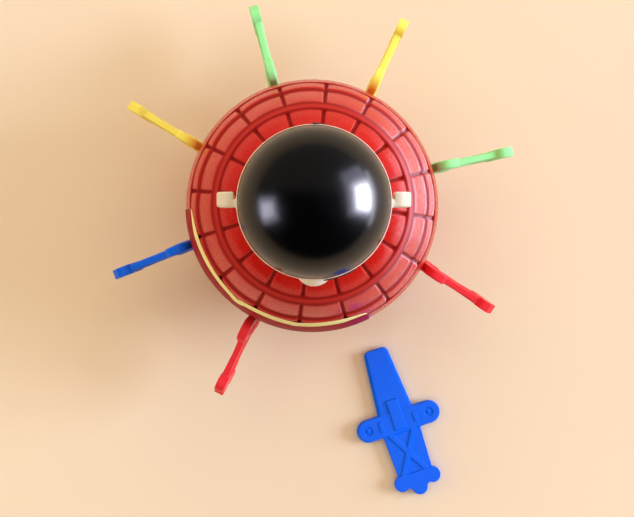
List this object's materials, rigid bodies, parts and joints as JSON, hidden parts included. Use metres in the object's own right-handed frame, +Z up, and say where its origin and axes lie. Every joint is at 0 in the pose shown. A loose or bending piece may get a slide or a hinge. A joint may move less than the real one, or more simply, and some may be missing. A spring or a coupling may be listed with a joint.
{
  "type": "pop-up pirate game",
  "caption": "Pop-up barrel game: a red barrel with sword slots, toy swords in four colours and a sprung pirate held by a trigger catch.",
  "frame": {"origin": "middle of the barrel's flat foot, on the surface that the game stands on", "axes": "+Z up along the barrel's axis; the pirate looks along -Y; +X to the pirate's left hand"},
  "size_m": [0.1523, 0.1899, 0.137],
  "materials": {
    "barrel_red": "glossy moulded polystyrene",
    "base_red": "satin moulded plastic",
    "screw_steel": "zinc plated",
    "label_print": "printed sticker",
    "mech_white": "natural nylon",
    "trigger_white": "natural nylon",
    "spring_steel": "drawn spring wire",
    "skin_cream": "satin moulded plastic",
    "cap_black": "glossy black lacquer",
    "shirt_red": "satin moulded plastic",
    "belt_black": "satin moulded plastic",
    "sword_green": "glossy moulded polyethylene",
    "sword_yellow": "glossy moulded polyethylene",
    "sword_red": "glossy moulded polyethylene",
    "sword_blue": "glossy moulded polyethylene"
  },
  "bodies": {
    "root": {"barrel_lower": "barrel_red", "barrel_upper": "barrel_red", "barrel_base": "base_red", "base_screws": "screw_steel", "label": "label_print", "turret_screw": "screw_steel"},
    "turret": {"turret": "mech_white", "guide_collar": "mech_white", "lever_pin": "screw_steel", "launch_spring": "spring_steel", "trigger_spring": "spring_steel"},
    "launch_plate": {"launch_plate": "mech_white"},
    "trigger": {"trigger_lever": "trigger_white"},
    "pirate": {"pirate_foot": "mech_white", "pirate_body": "shirt_red", "pirate_belt": "belt_black", "pirate_head": "skin_cream", "pirate_cap": "cap_black", "eye_patch": "belt_black"},
    "sword_green_right": {"sword_green_right": "sword_green"},
    "sword_yellow_right": {"sword_yellow_right": "sword_yellow"},
    "sword_green_left": {"sword_green_left": "sword_green"},
    "sword_yellow_left": {"sword_yellow_left": "sword_yellow"},
    "sword_blue_left": {"sword_blue_left": "sword_blue"},
    "sword_red_left": {"sword_red_left": "sword_red"},
    "sword_red_right": {"sword_red_right": "sword_red"},
    "sword_blue_loose": {"sword_blue_loose": "sword_blue"}
  },
  "joints": [
    {"name": "turret_spin", "type": "hinge", "parent": "root", "child": "turret", "pos_m": [0, 0, 0], "axis": [0, 0, 1], "range_deg": [-24, 24]},
    {"name": "launch", "type": "slide", "parent": "turret", "child": "launch_plate", "axis": [0, 0, 1], "range_m": [0, 0.024], "deforming": ["launch_spring"]},
    {"name": "trigger_pull", "type": "hinge", "parent": "turret", "child": "trigger", "pos_m": [0.00529, -0.01679, 0.04668], "axis": [0.9537, 0.3007, 0], "range_deg": [0, 17], "stiffness_Nm_per_rad": 0.02, "springref_deg": -17.19, "deforming": ["trigger_spring"]},
    {"name": "pirate_lift", "type": "slide", "parent": "launch_plate", "child": "pirate", "axis": [0, 0, 1], "range_m": [0, 0.11]},
    {"name": "pull_green_right", "type": "slide", "parent": "root", "child": "sword_green_right", "axis": [0.9584, 0.2125, -0.1908], "range_m": [0, 0.036]},
    {"name": "pull_yellow_right", "type": "slide", "parent": "root", "child": "sword_yellow_right", "axis": [0.4226, 0.886, -0.1908], "range_m": [0, 0.036]},
    {"name": "pull_green_left", "type": "slide", "parent": "root", "child": "sword_green_left", "axis": [-0.2458, 0.9504, -0.1908], "range_m": [0, 0.036]},
    {"name": "pull_yellow_left", "type": "slide", "parent": "root", "child": "sword_yellow_left", "axis": [-0.837, 0.5129, -0.1908], "range_m": [0, 0.036]},
    {"name": "pull_blue_left", "type": "slide", "parent": "root", "child": "sword_blue_left", "axis": [-0.9133, -0.3598, -0.1908], "range_m": [0, 0.036]},
    {"name": "pull_red_left", "type": "slide", "parent": "root", "child": "sword_red_left", "axis": [-0.4149, -0.8897, -0.1908], "range_m": [0, 0.036]},
    {"name": "pull_red_right", "type": "slide", "parent": "root", "child": "sword_red_right", "axis": [0.8279, -0.5274, -0.1908], "range_m": [0, 0.036]},
    {"name": "pick_up_blue_loose", "type": "slide", "parent": "root", "child": "sword_blue_loose", "axis": [0, 0, 1], "range_m": [0, 0.05]}
  ]
}
